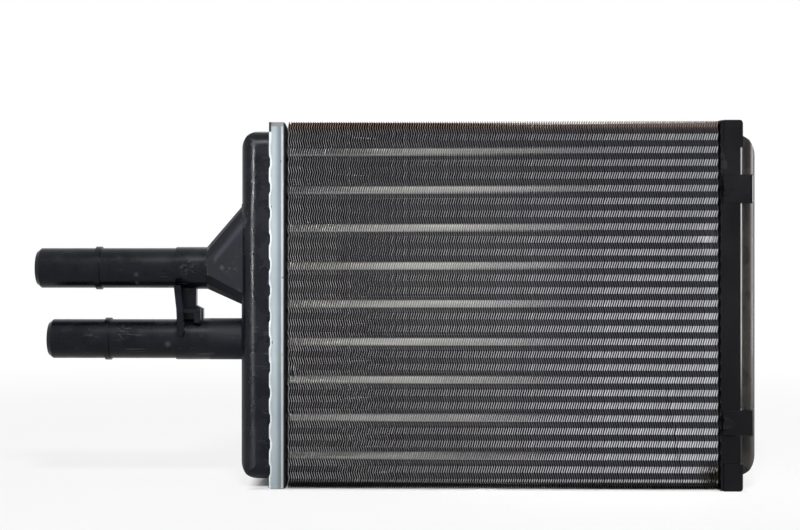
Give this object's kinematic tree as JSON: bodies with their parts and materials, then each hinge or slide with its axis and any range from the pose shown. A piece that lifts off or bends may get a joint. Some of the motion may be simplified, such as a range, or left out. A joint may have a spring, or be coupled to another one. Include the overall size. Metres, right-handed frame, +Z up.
{
  "type": "heater core",
  "caption": "Cabin heater core: round tubes through a stack of plate fins, plastic end tanks crimped into aluminium trays, hose stubs on one tank and a lugged mounting frame on the other.",
  "frame": {"origin": "middle of the whole core's box in X and Y, at its lower edge in Z", "axes": "+X along the core from the hose stubs to the mounting frame, +Y from the front to the back through the thickness, +Z up along the fins"},
  "size_m": [0.3546, 0.054, 0.1782],
  "materials": {
    "pipe_tank_plastic": "satin black glass-filled nylon",
    "return_tank_plastic": "satin black glass-filled nylon",
    "frame_plastic": "glossy black plastic",
    "header_aluminium": "drawn satin sheet",
    "fin_aluminium": "thin bare sheet, some fins dented",
    "tube_aluminium": "drawn tube",
    "gasket_rubber": "moulded rubber"
  },
  "bodies": {
    "root": {"pipe_tank": "pipe_tank_plastic", "return_tank": "return_tank_plastic", "pipe_header_plate": "header_aluminium", "return_header_plate": "header_aluminium", "pipe_gasket": "gasket_rubber", "return_gasket": "gasket_rubber", "mounting_frame": "frame_plastic", "fin_pack": "fin_aluminium", "tube_front_1": "tube_aluminium", "tube_front_2": "tube_aluminium", "tube_front_3": "tube_aluminium", "tube_front_4": "tube_aluminium", "tube_front_5": "tube_aluminium", "tube_front_6": "tube_aluminium", "tube_front_7": "tube_aluminium", "tube_front_8": "tube_aluminium", "tube_front_9": "tube_aluminium", "tube_rear_1": "tube_aluminium", "tube_rear_2": "tube_aluminium", "tube_rear_3": "tube_aluminium", "tube_rear_4": "tube_aluminium", "tube_rear_5": "tube_aluminium", "tube_rear_6": "tube_aluminium", "tube_rear_7": "tube_aluminium", "tube_rear_8": "tube_aluminium", "tube_rear_9": "tube_aluminium"}
  },
  "joints": []
}
